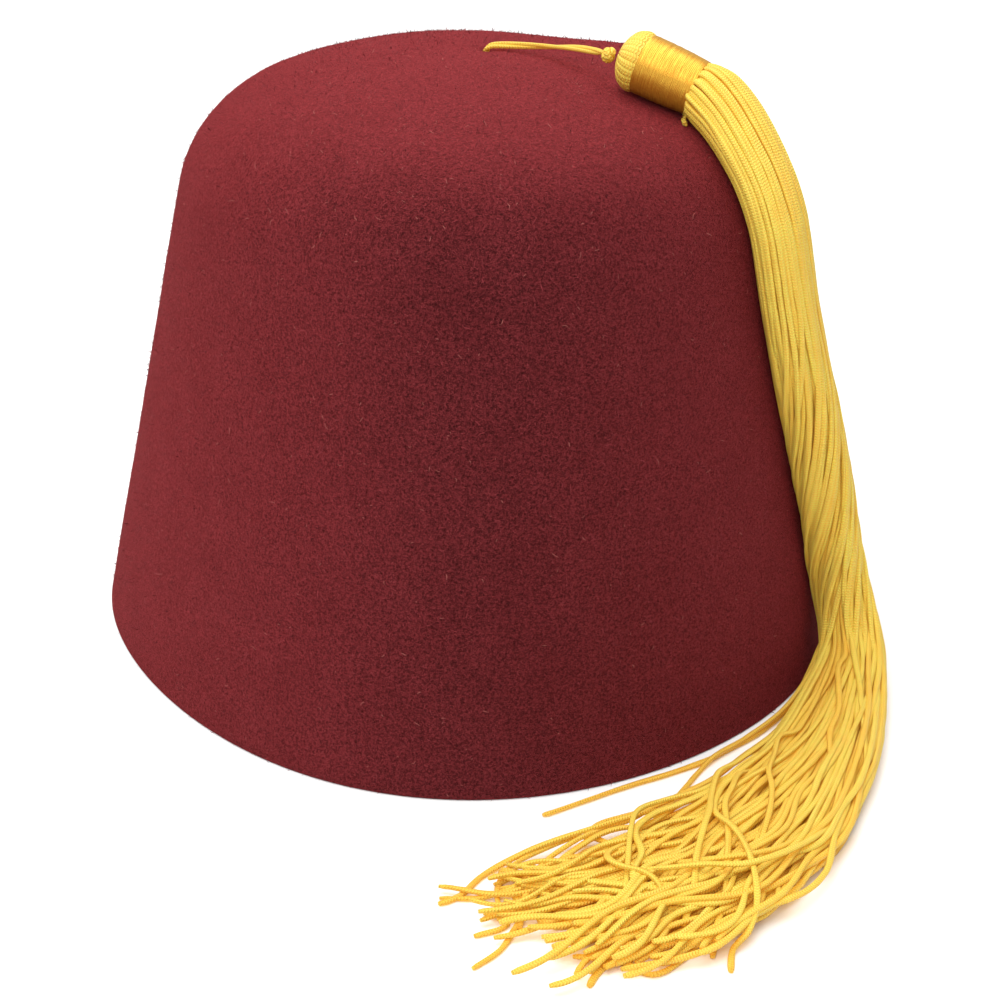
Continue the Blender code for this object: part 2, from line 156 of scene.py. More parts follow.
def addPiece(name, corners, faces, material, tones=None, mapping=None):
    mesh = bpy.data.meshes.new(name)
    mesh.from_pydata(np.asarray(corners).reshape(-1, 3).tolist(), [], faces)
    mesh.shade_smooth()
    mesh.materials.append(material)
    if tones is not None:
        layer = mesh.attributes.new("tone", "FLOAT", "POINT")
        layer.data.foreach_set("value", np.ascontiguousarray(tones, dtype=np.float32).ravel())
    if mapping is not None:
        layer = mesh.uv_layers.new(name="strandMap")
        layer.data.foreach_set("uv", np.ascontiguousarray(mapping, dtype=np.float32).ravel())
    piece = addObject(name, mesh)
    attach(piece, "root")
    return piece


# A smooth curve through rows of numbers; places count in rows
def throughRows(rows, places):
    rows = np.asarray(rows, dtype=float)
    places = np.asarray(places, dtype=float)
    last = len(rows) - 1
    padded = np.vstack([rows[0] * 2 - rows[1], rows, rows[-1] * 2 - rows[-2]])
    first = np.clip(np.floor(places).astype(int), 0, last - 1)
    share = (places - first)[..., None]
    before, start, end, after = (padded[first + step] for step in range(4))
    bend = -before + start * 3 - end * 3 + after
    curve = before * 2 - start * 5 + end * 4 - after
    return start + ((end - before) * share + curve * share**2 + bend * share**3) * 0.5


def curveThrough(rows, count):
    return throughRows(rows, np.linspace(0, len(rows) - 1, count))


def roundAngles(count):
    return np.linspace(0, math.tau, count, endpoint=False)


# Points along each path at equal distances, over a given length
def evenly(paths, lengths, count):
    result = np.empty((len(paths), count, 3))
    for number, path in enumerate(paths):
        steps = np.linalg.norm(np.diff(path, axis=0), axis=1)
        along = np.concatenate([[0], np.cumsum(steps)])
        wanted = np.linspace(0, min(lengths[number], along[-1]), count)
        for axis in range(3):
            result[number, :, axis] = np.interp(wanted, along, path[:, axis])
    return result


# Twice as many points on the same curves
def refined(values):
    before = np.concatenate([values[:, :1] * 2 - values[:, 1:2], values[:, :-2]], axis=1)
    after = np.concatenate([values[:, 2:], values[:, -1:] * 2 - values[:, -2:-1]], axis=1)
    middle = (values[:, :-1] + values[:, 1:]) * 0.5625 - (before + after) * 0.0625
    result = np.empty((values.shape[0], values.shape[1] * 2 - 1, *values.shape[2:]))
    result[:, 0::2] = values
    result[:, 1::2] = middle
    return result


# Slow random swings along each strand, between about -1 and 1
def swings(count, along, wavelengths):
    total = np.zeros((count, len(along)))
    for wavelength in wavelengths:
        phases = chance.uniform(0, math.tau, (count, 1))
        rates = math.tau / (wavelength * chance.uniform(0.75, 1.3, (count, 1)))
        total += np.sin(along[None, :] * rates + phases)
    return total / math.sqrt(len(wavelengths))


# Many closed chainette strands of oval section as one mesh; flats point out of each strand's flat side
def addStrands(name, points, flats, halfWide, halfThick, tones, sides=8):
    strands, count = points.shape[:2]
    way = unit(np.gradient(points, axis=1))
    flat = unit(flats - way * dots(flats, way))
    across = np.cross(flat, way)
    angles = roundAngles(sides)
    squared = 0.82  # below 1 the oval has fuller corners
    turnWide = (np.sign(np.cos(angles)) * np.abs(np.cos(angles)) ** squared)[None, None, :, None]
    turnFlat = (np.sign(np.sin(angles)) * np.abs(np.sin(angles)) ** squared)[None, None, :, None]
    corners = (
        points[:, :, None]
        + across[:, :, None] * halfWide[:, :, None, None] * turnWide
        + flat[:, :, None] * halfThick[:, :, None, None] * turnFlat
    )
    index = np.arange(strands * count * sides).reshape(strands, count, sides)
    following = np.roll(index, -1, axis=2)
    quads = np.stack([index[:, :-1], following[:, :-1], following[:, 1:], index[:, 1:]], axis=-1)
    faces = quads.reshape(-1, 4).tolist()
    faces += index[:, 0, ::-1].tolist()
    faces += index[:, -1].tolist()
    steps = np.linalg.norm(np.diff(points, axis=1), axis=2)
    along = np.concatenate([np.zeros((strands, 1)), np.cumsum(steps, axis=1)], axis=1) * 1000
    along = along + (np.arange(strands) * 0.618 % 1)[:, None]
    shape = (strands, count - 1, sides)
    left = np.broadcast_to(np.arange(sides) / sides, shape)
    low = np.broadcast_to(along[:, :-1, None], shape)
    high = np.broadcast_to(along[:, 1:, None], shape)
    mapping = np.stack([left, low, left + 1 / sides, low, left + 1 / sides, high, left, high], axis=-1)
    ends = np.zeros((strands * 2, sides, 2))
    ends[:strands, :, 1] = along[:, :1]
    ends[strands:, :, 1] = along[:, -1:]
    mapping = np.concatenate([mapping.reshape(-1), ends.reshape(-1)])
    tones = np.asarray(tones)
    if tones.ndim == 1:
        tones = tones[:, None]
    tones = np.broadcast_to(tones[..., None], (strands, count, sides))
    return addPiece(name, corners, faces, chainette, tones, mapping)


# Stage: a plain pale floor and soft studio light
stage = {
    "floorTone": "F2F2F2",
    "floorSize": 8.0,
    "skyTone": "FFFFFF",
    "skyStrength": 0.5,
    # name, place, height of the point over the middle that it aims at, size, watts
    "lamps": [
        ("overhead", (-0.2, 0.15, 1.3), 0.06, 1.5, 25),
        ("leftLamp", (-1.2, -0.3, 0.75), 0.06, 0.8, 1.4),
        ("frontLamp", (-0.3, -1.2, 1.0), 0.05, 0.8, 10.5),
    ],
}


def addStage():
    half = stage["floorSize"] / 2
    mesh = bpy.data.meshes.new("studioFloor")
    corners = [(-half, -half, 0), (half, -half, 0), (half, half, 0), (-half, half, 0)]
    mesh.from_pydata(corners, [], [(0, 1, 2, 3)])
    floor = addObject("studioFloor", mesh)
    paper, tree = newMaterial("paleStudioPaper")
    showOnSurface(tree, principled(tree, {"Base Color": stage["floorTone"], "Roughness": 0.9}))
    mesh.materials.append(paper)
    world = bpy.data.worlds.new("studioSky")
    world.use_nodes = True
    sky = world.node_tree.nodes["Background"].inputs
    sky["Color"].default_value = fromHex(stage["skyTone"])
    sky["Strength"].default_value = stage["skyStrength"]
    bpy.context.scene.world = world
    for name, place, aim, size, watts in stage["lamps"]:
        lamp = addObject(name, bpy.data.lights.new(name, "AREA"))
        lamp.data.size = size
        lamp.data.energy = watts
        lamp.location = place
        way = Vector((0, 0, aim)) - Vector(place)
        lamp.rotation_euler = way.to_track_quat("-Z", "Y").to_euler()
    bpy.context.scene.view_settings.view_transform = "Standard"


print("stage and light")
addStage()


# Felt crown. A run counts from the crown's middle (0) to the dome's edge (1), the corner's lower end (2)
# and the rim (3); a turn is the angle round the hat, from +X over +Y.
felt = {
    "rimWidth": 0.175,
    "rimDepth": 0.199,
    "crownWidth": 0.127,
    "crownDepth": 0.150,
    "height": 0.135,
    "cornerRadius": 0.030,
    "domeAngle": 16.5,
    "wall": 0.003,
    "waves": [(3, 0.0071, 43.1), (4, 0.0132, -9.3)],  # lobes, swing, crest
    "cutRounding": 0.0007,
    "lump": 0.00016,
    "lumpSizes": (0.021, 0.0075),
    "evenUpTo": 0.004,  # no lumps right by the rim
    "dimple": (0.0008, 0.0026),  # how far the felt sinks where the cord goes through it, and how wide
    # rise, run, reach, turn and reach of soft rises and dips of the crown
    "humps": [(0.0024, 1.1, 0.45, 36.0, 17.0), (-0.0007, 1.0, 0.5, 76.0, 26.0)],
    "columns": 240,
    "rows": (64, 26, 28),  # of the wall, the corner and the dome
}


def wallLine(height):
    share = height / felt["height"]
    halfWidth = (felt["rimWidth"] + (felt["crownWidth"] - felt["rimWidth"]) * share) / 2
    halfDepth = (felt["rimDepth"] + (felt["crownDepth"] - felt["rimDepth"]) * share) / 2
    return halfWidth, halfDepth


def crownLayout():
    spread = felt["rimWidth"] - felt["crownWidth"] + felt["rimDepth"] - felt["crownDepth"]
    lean = math.atan(spread / 4 / felt["height"])
    end = math.pi / 2 - math.radians(felt["domeAngle"])
    inset = felt["cornerRadius"] * (math.cos(lean) - math.cos(end))
    cornerRise = felt["cornerRadius"] * (math.sin(end) - math.sin(lean))
    wallTop = felt["height"] - felt["cornerRadius"]
    for _ in range(20):
        halfWidth, halfDepth = wallLine(wallTop)
        domeRise = ((halfWidth + halfDepth) / 2 - inset) * math.tan(math.radians(felt["domeAngle"])) / 2
        wallTop = felt["height"] - domeRise - cornerRise
    return lean, end, wallTop, domeRise


wallLean, cornerEnd, wallTop, domeRise = crownLayout()


# How far the wall's waves carry it out of or into a plain oval, as a factor; they fade towards the top
def wallSwell(turn, height):
    fade = np.maximum(0, 1 - height / felt["height"])
    waves = ((lobes, swing, math.radians(crest)) for lobes, swing, crest in felt["waves"])
    return 1 + fade * sum(swing * np.cos(lobes * (turn - crest)) for lobes, swing, crest in waves)


def feltPoint(run, turn):
    run, turn = np.broadcast_arrays(np.asarray(run, float), np.asarray(turn, float))
    onWall = run >= 2
    angle = wallLean + (cornerEnd - wallLean) * np.clip(2 - run, 0, 1)
    inset = felt["cornerRadius"] * (math.cos(wallLean) - np.cos(angle))
    rise = wallTop + felt["cornerRadius"] * (np.sin(angle) - math.sin(wallLean))
    height = np.where(onWall, wallTop * (3 - run), rise)
    halfWidth, halfDepth = wallLine(np.where(onWall, height, wallTop))
    shrink = np.where(run < 1, run, 1)
    halfWidth = (halfWidth - np.where(onWall, 0, inset)) * shrink
    halfDepth = (halfDepth - np.where(onWall, 0, inset)) * shrink
    height = height + np.where(run < 1, domeRise * (1 - run * run), 0)
    swell = wallSwell(turn, height)
    for rise, humpRun, runReach, humpTurn, turnReach in felt["humps"]:
        aside = np.remainder(turn - math.radians(humpTurn) + math.pi, math.tau) - math.pi
        away = ((run - humpRun) / runReach) ** 2 + (aside / math.radians(turnReach)) ** 2
        height = height + rise * np.exp(-away)
    return np.stack([halfWidth * np.cos(turn) * swell, halfDepth * np.sin(turn) * swell, height], axis=-1)


def feltNormal(run, turn):
    step = 0.004
    down = feltPoint(run + step, turn) - feltPoint(run - step, turn)
    roundWay = feltPoint(run, turn + step) - feltPoint(run, turn - step)
    return unit(np.cross(down, roundWay))


# A place above the felt, with the felt's normal there; the turn is in degrees
def overFelt(run, turn, above):
    turn = math.radians(turn)
    normal = feltNormal(run, turn)
    return feltPoint(run, turn) + normal * above, normal


def woolFelt(name, look):
    # Wool felt, blocked wet over a form and brushed: dead matt, mottled where tangled fibres of
    # darker and lighter dye lie side by side, with a soft glow where the nap is seen edge on, and
    # painted light: the top is painted lighter, for the light that falls on it
    material, tree = newMaterial(name)
    place = addNode(tree, "TexCoord").outputs["Object"]
    patches = speckled(tree, place, 1 / look["patch"], 3)
    blobs = speckled(tree, place, 1 / look["blob"], 4, Roughness=0.65, Distortion=0.6)
    squeezed = stretched(tree, place, (1, 1, 2.6), (0.4, 0.3, 0))
    fibres = speckled(tree, squeezed, 1 / look["fibre"], 2, Distortion=2.2)
    blobShare = ranged(tree, blobs, 0.41, 0.59)
    fibreShare = ranged(tree, fibres, 0.54, 0.74, toHigh=0.8)
    patchShare = ranged(tree, patches, 0.3, 0.7, toHigh=0.3)
    height = addNode(tree, "SeparateXYZ", {0: place}).outputs[2]
    # painted light: towards the crown's top the colour has a lighter red added, for the light that falls
    # there
    paintedTopLightShare = ranged(tree, height, *look["paintedTopLightHeights"], toHigh=0.17)
    dye = blended(tree, blobShare, look["deep"], look["middle"])
    dye = blended(tree, fibreShare, dye, look["light"])
    dye = blended(tree, patchShare, dye, look["worn"], "MULTIPLY")
    dye = blended(tree, paintedTopLightShare, dye, look["paintedTopLight"], "ADD")
    tangle = worked(tree, "MULTIPLY_ADD", fibres, 0.6, blobs)
    showOnSurface(tree, principled(tree, {
        "Base Color": dye, "Normal": relief(tree, look, tangle), "Roughness": 0.95, "IOR": 1.45,
        "Specular IOR Level": 0.05, "Sheen Weight": look["glow"], "Sheen Roughness": 0.45,
        "Sheen Tint": look["glowTone"],
    }))
    return material


def woolNap(name, look):
    # Loose wool ends that stand out of the felt: single fibres, most of them the felt's red, a few pale
    material, tree = newMaterial(name)
    tone = addNode(tree, "Attribute", attribute_name="tone").outputs["Fac"]
    red = blended(tree, ranged(tree, tone, 0.0, look["paleFrom"]), look["deep"], look["napLight"])
    hair = blended(tree, ranged(tree, tone, look["paleFrom"], 1.0), red, look["hair"])
    showOnSurface(tree, principled(tree, {
        "Base Color": hair, "Roughness": 0.8, "IOR": 1.55, "Specular IOR Level": 0.06,
        "Sheen Weight": look["glow"], "Sheen Tint": look["glowTone"],
    }))
    return material


feltLook = {
    "deep": "280D0F",
    "middle": "68252A",
    "light": "B04A4C",
    "worn": "B8A8A8",
    # painted light: the lighter red added on the crown's top, and the heights over which it comes in
    "paintedTopLight": "A84448",
    "paintedTopLightHeights": (0.118, 0.136),
    "napLight": "8C363B",
    "hair": "A05A54",
    "paleFrom": 0.9,  # fibres with a tone over this are pale
    "glowTone": "D04648",
    "glow": 0.6,
    "relief": 1.0,
    "reliefHeight": 0.0005,
    "patch": 0.012,  # slow changes of dye, 12 mm
    "blob": 0.00055,  # tufts of about 0.3 mm
    "fibre": 0.00042,  # bent fibres, drawn about three times as thick as real ones so that they show
}


def addFelt():
    turns = roundAngles(felt["columns"])
    cut = felt["cutRounding"]
    edgeHeights = np.array([0.0, 0.12, 0.35, 0.7, 1.2]) * cut
    edgeRuns = 3 - edgeHeights / wallTop
    wallRows, cornerRows, domeRows = felt["rows"]
    wallRuns = np.linspace(3 - 0.0018 / wallTop, 2, wallRows, endpoint=False)
    cornerRuns = np.linspace(2, 1, cornerRows, endpoint=False)
    domeRuns = np.linspace(1, 0.022, domeRows)
    runs = np.concatenate([edgeRuns, wallRuns, cornerRuns, domeRuns])[:, None]
    outer = feltPoint(runs, turns[None, :])
    normals = feltNormal(runs, turns[None, :])
    flatWay = unit(normals * (1, 1, 0) + 1e-9)
    innerRows = np.concatenate([np.arange(0, 5), np.arange(6, len(runs), 3), [len(runs) - 1]])
    inner = outer[innerRows] - normals[innerRows] * felt["wall"]
    inner[:, :, 2] = np.maximum(inner[:, :, 2], 0)
    inner[:5, :, 2] = edgeHeights[:, None]
    rounding = np.clip(cut - edgeHeights, 0, None)
    inset = (cut - np.sqrt(np.maximum(cut**2 - rounding**2, 0)))[:, None, None]
    outer[:5] -= flatWay[:5] * inset
    inner[:5] += flatWay[:5] * inset
    wide, narrow = felt["lumpSizes"]
    for grid, ways in ((outer, normals), (inner, normals[innerRows])):
        for point, way in zip(grid.reshape(-1, 3), ways.reshape(-1, 3)):
            place = Vector(point)
            lump = noise.noise(place / wide) + 0.45 * noise.noise(place / narrow + Vector((3, 5, 7)))
            point += way * lump * felt["lump"] * min(1, place.z / felt["evenUpTo"])
    depth, width = felt["dimple"]
    outer[:, :, 2] -= depth * np.exp(-((np.linalg.norm(outer[:, :, :2], axis=2) / width) ** 2))
    grid = np.concatenate([outer, inner[::-1]])
    index = np.arange(grid.shape[0] * grid.shape[1]).reshape(grid.shape[:2])
    above = np.roll(index, -1, axis=0)
    quads = np.stack([index, np.roll(index, -1, axis=1), np.roll(above, -1, axis=1), above], axis=-1)
    material = woolFelt("brushedWoolFelt", feltLook)
    piece = addPiece("feltBody", grid, quads.reshape(-1, 4).tolist(), material)
    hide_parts("felt_crown")


# Nap: short loose fibres that lie on the felt, as narrow ribbons
nap = {
    "wallFibres": 26000,
    "crownFibres": 15000,
    "length": (0.0005, 0.0017),
    "width": 0.00011,  # a real fibre is about 0.03 mm, too fine to show
    "standing": 0.0002,
    "paleShare": 0.03,
}


def addNap(name, runs, material):
    count = len(runs)
    turns = chance.uniform(0, math.tau, count)
    normal = feltNormal(runs, turns)
    base = feltPoint(runs, turns)
    roundWay = unit(np.cross(up, normal) + 1e-9)
    upWay = np.cross(normal, roundWay)
    angle = chance.uniform(0, math.tau, count)[:, None]
    way = roundWay * np.cos(angle) + upWay * np.sin(angle)
    beside = np.cross(normal, way)
    shortest, longest = nap["length"]
    length = (shortest + (longest - shortest) * chance.random(count) ** 2.2)[:, None]
    standing = chance.exponential(nap["standing"], count)[:, None]
    curl = chance.normal(0, 0.22, count)[:, None] * length
    middle = base + way * length * 0.5 + normal * (0.00012 + standing * 0.45) + beside * curl * 0.5
    end = base + way * length + normal * (0.00008 + standing) - beside * curl * 0.3
    start = base - normal * 0.00005
    half = beside * nap["width"] / 2 * chance.uniform(0.7, 1.3, count)[:, None]
    rows = []
    for point, share in ((start, 0.8), (middle, 1.0), (end, 0.3)):
        rows += [point - half * share, point + half * share]
    corners = np.stack(rows, axis=1)
    corners[..., 2] = np.maximum(corners[..., 2], 0.00005)
    first = (np.arange(count) * 6)[:, None, None]
    faces = (first + np.array([[0, 1, 3, 2], [2, 3, 5, 4]])[None]).reshape(-1, 4).tolist()
    pale = chance.random(count) < nap["paleShare"]
    tones = np.where(pale, 1.0, chance.random(count) * 0.9)
    tones = np.repeat(tones, 6)
    return addPiece(name, corners, faces, material, tones)


print("felt")
addFelt()
napMaterial = woolNap("looseWoolFibres", feltLook)
addNap("feltNapWall", chance.uniform(2, 2.995, nap["wallFibres"]), napMaterial)
crownPick = chance.random(nap["crownFibres"])
cornerRun = chance.uniform(1, 2, nap["crownFibres"])
domeRun = np.sqrt(chance.uniform(0.003, 1, nap["crownFibres"]))
addNap("feltNapCrown", np.where(crownPick < 0.6, cornerRun, domeRun), napMaterial)


# Tassel materials
def rayonChainette(name, look):
    # Rayon chainette, knitted by machine from bright filament into a fine tube: small slanted
    # stitches that catch the light, a soft satin, a deep orange where strands shade each other,
    # painted in part as shade in the stitches' grooves and on deeper strands, and light that passes
    # the thin strands and warms the ones below
    material, tree = newMaterial(name)
    mapping = addNode(tree, "UVMap", uv_map="strandMap")
    parts = addNode(tree, "SeparateXYZ", {0: mapping.outputs[0]})
    zigzag = worked(tree, "PINGPONG", worked(tree, "MULTIPLY", parts.outputs[0], look["wales"]), 0.5)
    stitch = worked(tree, "DIVIDE", parts.outputs[1], look["pitch"])
    slant = worked(tree, "MULTIPLY_ADD", zigzag, look["slant"], stitch)
    wave = worked(tree, "SINE", worked(tree, "MULTIPLY", slant, math.tau))
    furrow = ranged(tree, zigzag, 0.0, 0.16, toLow=-0.9, toHigh=0.0)
    height = worked(tree, "ADD", wave, furrow)
    place = addNode(tree, "TexCoord").outputs["Object"]
    uneven = speckled(tree, place, look["uneven"], 2)
    tone = addNode(tree, "Attribute", attribute_name="tone").outputs["Fac"]
    # painted shade: the stitches' grooves are mixed towards the shade colour
    sunk = ranged(tree, height, -1.6, 0.9, toLow=look["groove"], toHigh=0.0)
    patch = ranged(tree, uneven, 0.35, 0.7, toHigh=0.22)
    # the tone attribute holds each strand's own tone and, on the skirt, painted shade that makes deeper
    # strands warmer
    dye = blended(tree, tone, look["warm"], look["bright"])
    dye = blended(tree, sunk, dye, look["shade"])
    dye = blended(tree, patch, dye, look["shade"])
    satin = principled(tree, {
        "Base Color": dye, "Normal": relief(tree, look, height), "Roughness": look["roughness"], "IOR": 1.52,
        "Specular IOR Level": look["gloss"], "Sheen Weight": 0.12, "Sheen Roughness": 0.4,
        "Sheen Tint": look["sheenTone"],
    })
    glow = addNode(tree, "BsdfTranslucent", {"Color": look["through"]})
    strand = mixed(tree, look["thin"], satin, glow.outputs["BSDF"])
    # a part of the lamps' light gets past a strand to the ones below; to the eye the strands are solid
    clear = addNode(tree, "BsdfTransparent", {"Color": look["leakTone"]})
    leaking = mixed(tree, look["leak"], strand, clear.outputs["BSDF"])
    shadowRay = addNode(tree, "LightPath").outputs["Is Shadow Ray"]
    showOnSurface(tree, mixed(tree, shadowRay, strand, leaking))
    return material


def rayonFloss(name, look):
    # Rayon floss, wound close and tight: parallel filaments with a satin band along the light side
    material, tree = newMaterial(name)
    mapping = addNode(tree, "UVMap", uv_map="strandMap")
    lengthwise = stretched(tree, mapping.outputs[0], (9, look["threads"], 1))
    filaments = speckled(tree, lengthwise, 1, 4, Roughness=0.6)
    dye = blended(tree, ranged(tree, filaments, 0.25, 0.75), look["warm"], look["bright"])
    showOnSurface(tree, principled(tree, {
        "Base Color": dye, "Normal": relief(tree, look, filaments), "Roughness": look["roughness"],
        "IOR": 1.52, "Specular IOR Level": look["gloss"], "Metallic": look["lustre"],
    }))
    return material


chainetteLook = {
    "bright": "F0E862",
    "warm": "F6C842",
    "shade": "F4A42A",
    "sheenTone": "FFE9A8",
    "through": "FFC84C",
    "thin": 0.15,
    "leak": 0.62,  # the share of the lamps' light that gets past a strand
    "leakTone": "FFE6A4",
    "wales": 4,  # stitch columns round a strand
    "pitch": 0.64,  # mm between stitches, drawn a little coarser than real so that they show
    "slant": 0.8,
    # painted shade: how far the stitches' grooves are darkened towards the shade colour
    "groove": 0.6,
    "reliefHeight": 0.00012,
    "relief": 0.7,
    "uneven": 260,  # slow changes of tone, 4 mm
    "roughness": 0.45,
    "gloss": 0.4,
}
flossLook = {
    "bright": "F0C64A",
    "warm": "C27012",
    "threads": 5.5,
    "reliefHeight": 0.0001,
    "relief": 0.6,
    "roughness": 0.4,
    "gloss": 0.4,
    "lustre": 0.7,  # the smooth filaments mirror light in their own colour, as metal does
}
chainette = rayonChainette("knittedRayonChainette", chainetteLook)
floss = rayonFloss("woundRayonFloss", flossLook)

# Tassel head: the mould under lengthwise strands, and the wound band below it
head = {
    "seat": (0.735, -28.6),  # run and turn of the felt under its start
    "wrapSeat": (1.033, -25.8),
    "lift": 0.0005,
    "diameter": 0.0138,
    "length": 0.0051,
    "overlap": 0.0008,  # the strands' ends lie over the wrap's first turns
    "gap": 0.0003,
    "ribs": 24,
    # share of the length, share of the radius
    "mould": [
        (0.00, 0.10), (0.03, 0.26), (0.09, 0.45), (0.18, 0.63), (0.30, 0.79), (0.44, 0.90), (0.60, 0.97),
        (0.76, 1.0), (0.90, 0.985), (1.0, 0.95),
    ],
    "ribThickness": 0.0009,
    "ribPacking": 1.22,  # over 1 each rib presses on its neighbours
    "ribSunk": 0.0001,
    "mouldSunk": 0.0006,
}
wrap = {
    "diameter": 0.0130,
    "endDiameter": 0.0120,
    "length": 0.0141,
    "wall": 0.0014,
    "crowning": 0.0002,
    "threadPitch": 0.00036,  # drawn about twice as coarse as real floss so that the turns show
    "threadRelief": 0.00003,
    "columns": 96,
}


def headAxis():
    first, _ = overFelt(*head["seat"], head["diameter"] / 2 + head["lift"])
    last, _ = overFelt(*head["wrapSeat"], wrap["diameter"] / 2 + head["lift"])
    way = unit(last - first)
    start = last - way * (wrap["length"] + head["gap"] + head["length"])
    return start, way, last


headStart, headWay, wrapEnd = headAxis()
headOut = unit(up - headWay * headWay[2])
headSide = np.cross(headOut, headWay)


def roundTheHead(angles):
    return np.cos(angles)[..., None] * headOut + np.sin(angles)[..., None] * headSide


def addHead():
    count = 30
    profile = curveThrough(head["mould"], count)
    along = profile[:, 0] * (head["length"] + head["overlap"])
    radius = profile[:, 1] * head["diameter"] / 2
    angles = roundAngles(head["ribs"]) + 0.05
    angles = angles[:, None] + chance.normal(0, 0.02, (head["ribs"], 1)) + np.zeros((1, count))
    outWay = roundTheHead(angles)
    slope = unit(np.stack([np.gradient(along), np.gradient(radius)], axis=1))
    normal = outWay * slope[None, :, 0:1] - headWay * slope[None, :, 1:2]
    thick = head["ribThickness"] / 2
    points = headStart + headWay * along[None, :, None]
    points = points + outWay * (radius - head["ribSunk"])[None, :, None] - normal * thick
    halfWide = math.pi * radius / head["ribs"] * head["ribPacking"]
    halfWide = np.broadcast_to(halfWide, (head["ribs"], count)).copy()
    halfThick = np.full((head["ribs"], count), thick)
    tones = chance.uniform(0.75, 1, head["ribs"])
    cap = addStrands("capStrands", points, normal, halfWide, halfThick, tones)
    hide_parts("tassel_head")
    # the mould under the strands, which closes the gaps between them
    turns = roundAngles(40)
    rings = [headStart + headWay * along[0] + roundTheHead(turns) * 0.0002]
    for step in range(0, count, 2):
        place = headStart + headWay * (along[step] + 0.0004)
        rings.append(place + roundTheHead(turns) * max(radius[step] - head["mouldSunk"], 0.0003))
    rings.append(headStart + headWay * (head["length"] + 0.0002) + roundTheHead(turns) * 0.003)
    corners = np.stack(rings)
    faces = gridFaces(len(rings), len(turns))
    mapping = gridMapping(len(rings), len(turns), head["length"] * 1000)
    addPiece("capMould", corners, faces, chainette, np.full(corners.shape[:2], 0.2), mapping)


# Faces and mapping of rings that close round and are capped at both ends
def gridFaces(rings, columns):
    index = np.arange(rings * columns).reshape(rings, columns)
    beside = np.roll(index, -1, axis=1)
    quads = np.stack([index[:-1], index[1:], beside[1:], beside[:-1]], axis=-1)
    return quads.reshape(-1, 4).tolist() + [index[0].tolist(), index[-1, ::-1].tolist()]


def gridMapping(rings, columns, length):
    low = np.broadcast_to((np.arange(rings - 1) / (rings - 1) * length)[:, None], (rings - 1, columns))
    high = low + length / (rings - 1)
    left = np.broadcast_to(np.arange(columns) / columns, (rings - 1, columns))
    right = left + 1 / columns
    body = np.stack([left, low, left, high, right, high, right, low], axis=-1)
    return np.concatenate([body.reshape(-1), np.zeros(columns * 4)])


def addWrap():
    turnsOfThread = wrap["length"] / wrap["threadPitch"]
    rings = int(turnsOfThread * 4)
    angles = roundAngles(wrap["columns"])
    place = np.linspace(-1, 1, rings)  # from the cap's end to the skirt's end
    edge = np.clip((np.abs(place) - 0.93) / 0.07, 0, 1) ** 2
    outer = wrap["diameter"] + (wrap["endDiameter"] - wrap["diameter"]) * (place + 1) / 2
    radius = outer / 2 + wrap["crowning"] * (1 - place**2) - wrap["wall"] * 0.55 * edge
    along = (place + 1) / 2 * wrap["length"]
    turning = along[:, None] / wrap["threadPitch"] - angles[None, :] / math.tau
    radius = radius[:, None] + wrap["threadRelief"] * np.cos(turning * math.tau)
    uneven = np.array([noise.noise(Vector((step * 0.09, 0, 4))) for step in range(rings)])
    radius = radius + uneven[:, None] * 0.00006
    start = wrapEnd - headWay * wrap["length"]
    corners = start + headWay * along[:, None, None] + roundTheHead(angles)[None] * radius[..., None]
    inside = wrap["diameter"] / 2 - wrap["wall"]
    closing = [start + roundTheHead(angles) * inside, wrapEnd + roundTheHead(angles) * inside]
    corners = np.concatenate([closing[:1], corners, closing[1:]])
    faces = gridFaces(rings + 2, wrap["columns"])
    mapping = gridMapping(rings + 2, wrap["columns"], wrap["length"] * 1000)
    piece = addPiece("wrapFloss", corners, faces, floss, None, mapping)
    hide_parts("head_wrap")


# The floss ends in a short two-ply thread end that sticks out under the wrap
threadEnd = {
    "seats": [(1.03, -29.0), (1.05, -30.2), (1.07, -31.1)],  # run and turn of the felt under it
    "above": 0.0006,
    "leavesAt": -128,  # angle round the wrap
    "sunk": 0.0003,
    "twist": 620,
    "apart": 0.00028,
    "halfWide": 0.00034,
}


def addThreadEnd():
    count = 24
    out = roundTheHead(np.array(math.radians(threadEnd["leavesAt"])))
    rows = [wrapEnd - headWay * 0.0002 + out * (wrap["endDiameter"] / 2 - threadEnd["sunk"])]
    rows += [overFelt(run, turn, threadEnd["above"])[0] for run, turn in threadEnd["seats"]]
    centre = curveThrough(rows, count)
    way = unit(np.gradient(centre, axis=0))
    first = unit(np.cross(way, headWay))
    second = np.cross(way, first)
    angle = np.linspace(0, math.radians(threadEnd["twist"]), count)[:, None]
    offset = (first * np.cos(angle) + second * np.sin(angle)) * threadEnd["apart"]
    points = np.stack([centre + offset, centre - offset])
    half = np.full((2, count), threadEnd["halfWide"])
    addStrands("wrapThreadEnd", points, points - centre, half, half * 0.9, np.array([0.9, 0.7]))


print("tassel head")
addHead()
addWrap()
addThreadEnd()

# Cord over the crown: two chainette strands side by side that cross on the way, and the knots at its ends
cord = {
    "knotLength": 0.0038,
    "knotDrop": 0.0014,
    # along, above and beside the line between its ends, as shares of that line
    "route": [
        (0.02, 0.008, 0.00), (0.08, 0.020, 0.02), (0.28, 0.010, 0.09), (0.50, 0.0, 0.13), (0.74, 0.0, 0.09),
    ],
    "points": 110,
    "crossings": 1.7,
    "intoKnot": 0.0012,
    "halfWide": 0.00056,
    "halfThick": 0.00044,
    "apart": 0.00042,
}
knot = {"tube": 0.00078, "outer": 0.00125, "innerTube": 0.0011, "innerOuter": 0.00175}


def cordEnds():
    hole = feltPoint(0.0, 0.0)
    place = headStart - headWay * (cord["knotLength"] / 2 + head["gap"]) - headOut * cord["knotDrop"]
    end = place - headWay * (cord["knotLength"] / 2 + head["gap"])
    return hole, place, end


